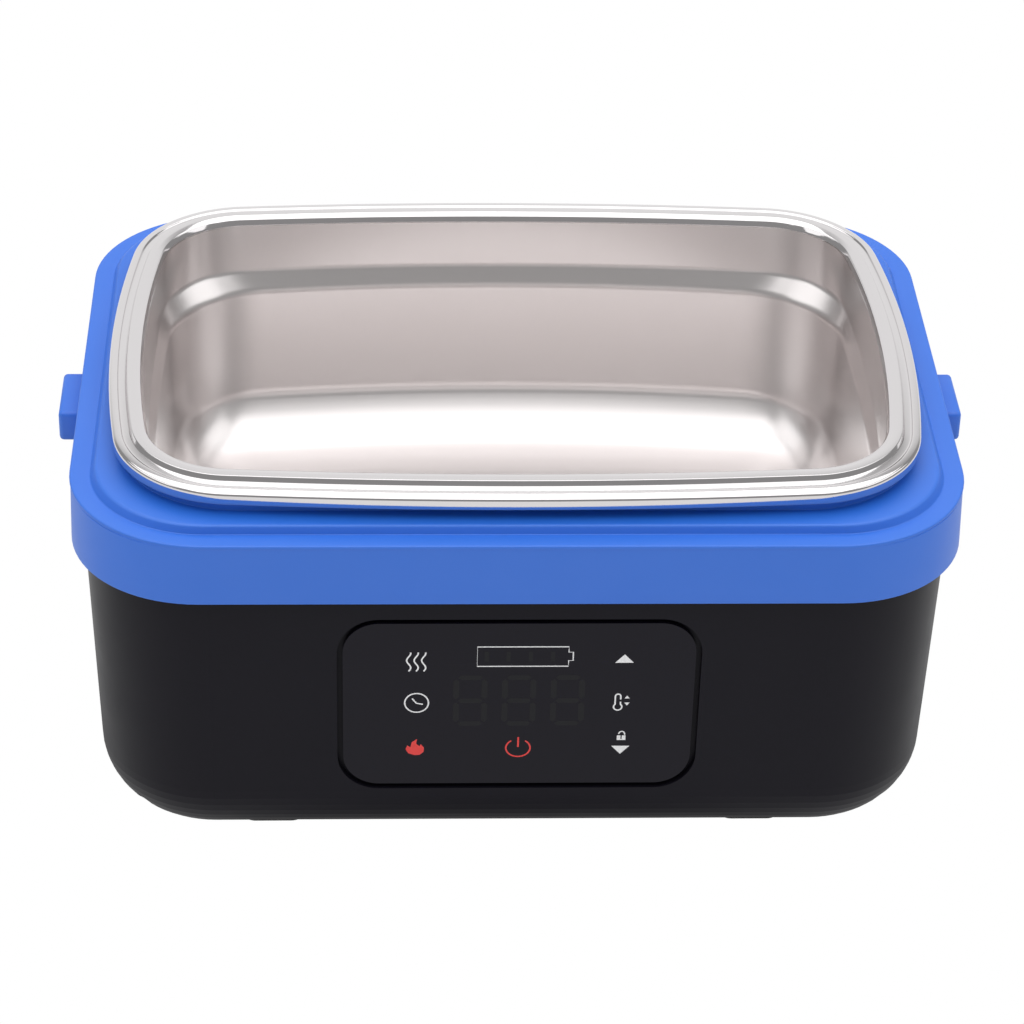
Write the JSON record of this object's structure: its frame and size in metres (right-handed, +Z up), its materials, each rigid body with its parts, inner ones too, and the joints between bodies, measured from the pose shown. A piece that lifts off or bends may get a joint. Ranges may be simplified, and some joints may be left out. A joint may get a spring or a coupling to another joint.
{
  "type": "electric lunch box",
  "caption": "Rectangular heated lunch box with a steel food container that lifts out of a two-tone plastic case, a touch panel, a charging port with a hinged cover, and rubber feet; no lid.",
  "frame": {"origin": "centre of the overall outline, on the plane the feet rest on", "axes": "+X to the right as seen from the panel, +Y towards the charging port at the rear, +Z up"},
  "size_m": [0.2536, 0.1806, 0.118],
  "materials": {
    "steel": "polished inside, fine grain",
    "blue_plastic": "satin gloss",
    "black_plastic": "satin",
    "seal_rubber": "matt silicone",
    "aluminium": "bare",
    "fixing_steel": "plated",
    "heater_film": "polyimide film",
    "felt": "needled felt",
    "brass": "bare",
    "panel_black": "high gloss",
    "tape": "foam tape",
    "board_green": "solder mask",
    "display_black": "satin",
    "lead_rubber": "silicone insulation",
    "cell_can": "sleeved can",
    "black_rubber": "matt"
  },
  "bodies": {
    "base": {"top_frame": "blue_plastic", "outer_shell": "black_plastic", "frame_seal": "seal_rubber", "heating_well": "aluminium", "well_gasket": "seal_rubber", "well_screws": "fixing_steel", "foil_heater": "heater_film", "felt_pad": "felt", "clamp_plate": "aluminium", "clamp_nuts": "fixing_steel", "thermostat": "black_plastic", "temp_sensor": "brass", "panel_window": "panel_black", "panel_tape": "tape", "display_board": "board_green", "digit_display": "display_black", "battery_bar_light": "display_black", "touch_springs": "fixing_steel", "display_screws": "fixing_steel", "ribbon_cable": "lead_rubber", "main_board": "board_green", "board_parts": "black_plastic", "buzzer": "black_plastic", "board_screws": "fixing_steel", "battery_cells": "cell_can", "cell_strips": "fixing_steel", "battery_tray": "black_plastic", "charge_socket": "black_plastic", "socket_nut": "fixing_steel", "cover_anchor": "black_rubber", "heater_leads": "lead_rubber", "battery_leads": "lead_rubber", "case_screws": "fixing_steel", "rubber_feet": "black_rubber"},
    "container": {"food_container": "steel"},
    "cover": {"port_cover": "black_rubber"}
  },
  "joints": [
    {"name": "container_lift", "type": "slide", "parent": "base", "child": "container", "axis": [0, 0, 1], "range_m": [0, 0.075]},
    {"name": "port_cover_hinge", "type": "hinge", "parent": "base", "child": "cover", "pos_m": [-0.058, 0.08691, 0.04816], "axis": [1, 0, 0], "range_deg": [0, 90]}
  ]
}
